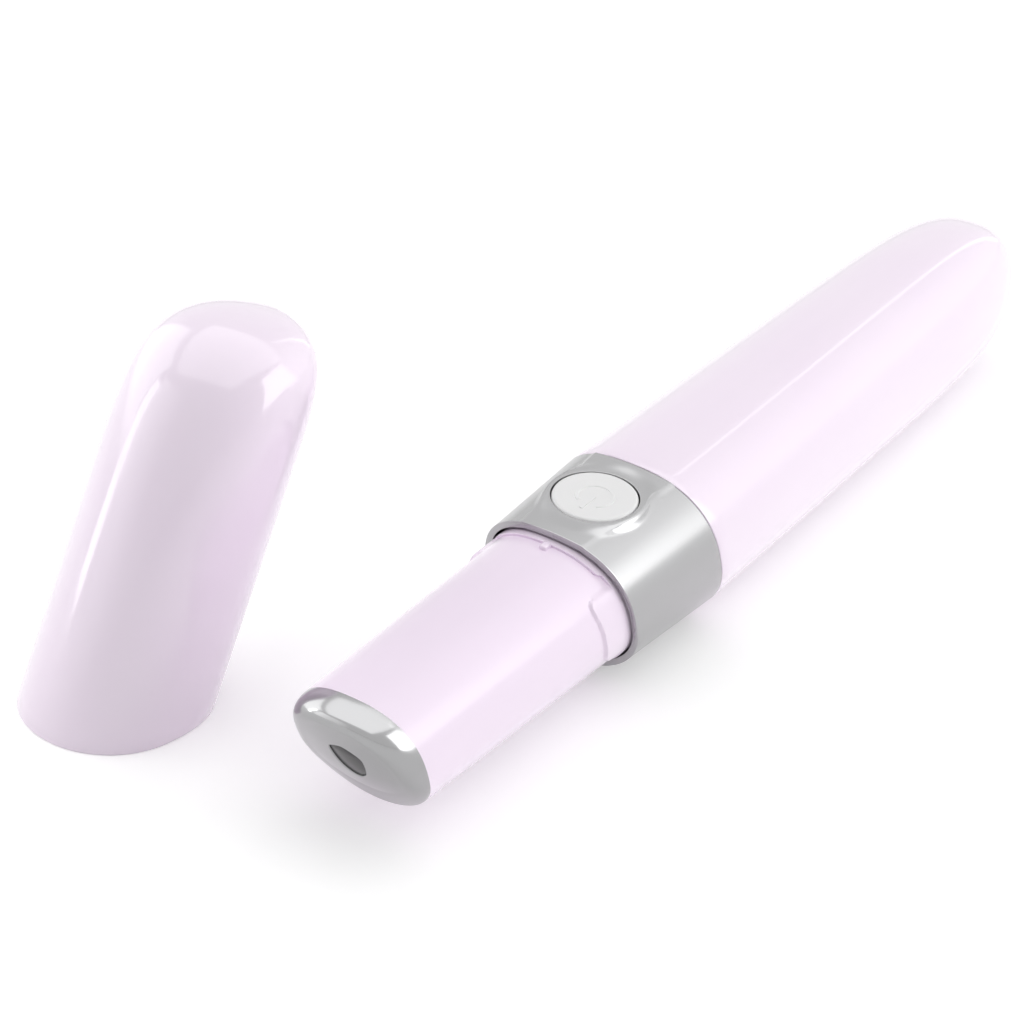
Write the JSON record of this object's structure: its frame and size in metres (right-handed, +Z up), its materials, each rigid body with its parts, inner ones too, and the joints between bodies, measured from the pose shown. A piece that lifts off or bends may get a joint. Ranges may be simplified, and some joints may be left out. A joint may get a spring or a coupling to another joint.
{
  "type": "heated eye massager wand",
  "caption": "Slim pen-shaped heated massage wand with a slanted metal head, a metal ring with a round power button, a tapered handle and a pull-off cap standing beside it.",
  "frame": {"origin": "on the surface the object lies on, in the middle of its footprint", "axes": "+Z up, +Y along the wand from its head to its tail, +X to the right when the head faces the viewer"},
  "size_m": [0.0588, 0.1582, 0.0459],
  "materials": {
    "pearl_shell": "moulded, pearl lilac, gloss lacquered",
    "pearl_sleeve": "moulded, pearl lilac, satin gloss",
    "chrome_ring": "satin plated",
    "head_metal": "polished",
    "button_plastic": "moulded, white",
    "smoke_window": "smoked, clear moulded",
    "led_resin": "cast resin",
    "heater_film": "polyimide film",
    "grey_foam": "closed-cell foam",
    "black_resin": "moulded resin",
    "motor_steel": "drawn steel",
    "weight_brass": "sintered",
    "black_rubber": "moulded",
    "inner_plastic": "moulded",
    "circuit_board": "solder mask",
    "screw_steel": "zinc plated",
    "cell_jacket": "printed film, no words",
    "spring_nickel": "nickel plated",
    "wire_jacket": "extruded"
  },
  "bodies": {
    "wand": {"ring_band": "chrome_ring", "head_sleeve": "pearl_sleeve", "seal_ring": "black_rubber", "head_plate": "head_metal", "window_lens": "smoke_window", "indicator_led": "led_resin", "heater_film": "heater_film", "foam_pad": "grey_foam", "thermistor": "black_resin", "motor_can": "motor_steel", "motor_cradle": "black_rubber", "switch_case": "black_resin", "main_board": "circuit_board", "controller_chip": "black_resin", "storage_capacitor": "motor_steel", "boost_coil": "black_resin", "board_screws": "screw_steel", "chassis": "inner_plastic", "chassis_screw": "screw_steel", "battery_cell": "cell_jacket", "front_contact": "spring_nickel", "contact_spring": "spring_nickel", "return_strip": "spring_nickel", "lead_wires": "wire_jacket"},
    "handle": {"handle_shell": "pearl_shell"},
    "button": {"power_button": "button_plastic"},
    "plunger": {"switch_plunger": "inner_plastic"},
    "rotor": {"motor_shaft": "motor_steel", "eccentric_weight": "weight_brass"},
    "cap": {"cap": "pearl_shell"}
  },
  "joints": [
    {"name": "cap_lift", "type": "slide", "parent": "wand", "child": "cap", "axis": [0, 0, 1], "range_m": [0, 0.06]},
    {"name": "handle_pull", "type": "slide", "parent": "wand", "child": "handle", "axis": [0, 1, 0], "range_m": [0, 0.055]},
    {"name": "button_press", "type": "slide", "parent": "wand", "child": "button", "axis": [0, 0, -1], "range_m": [0, 0.0004], "stiffness_N_per_m": 1500, "springref_m": -0.0005},
    {"name": "plunger_press", "type": "slide", "parent": "wand", "child": "plunger", "axis": [0, 0, -1], "range_m": [0, 0.00045]},
    {"name": "motor_spin", "type": "hinge", "parent": "wand", "child": "rotor", "pos_m": [0.01813, -0.06428, 0.01091], "axis": [0, 1, 0], "continuous": true}
  ],
  "couplings": [
    {"joint": "plunger_press", "follows": "button_press", "ratio": 1}
  ]
}
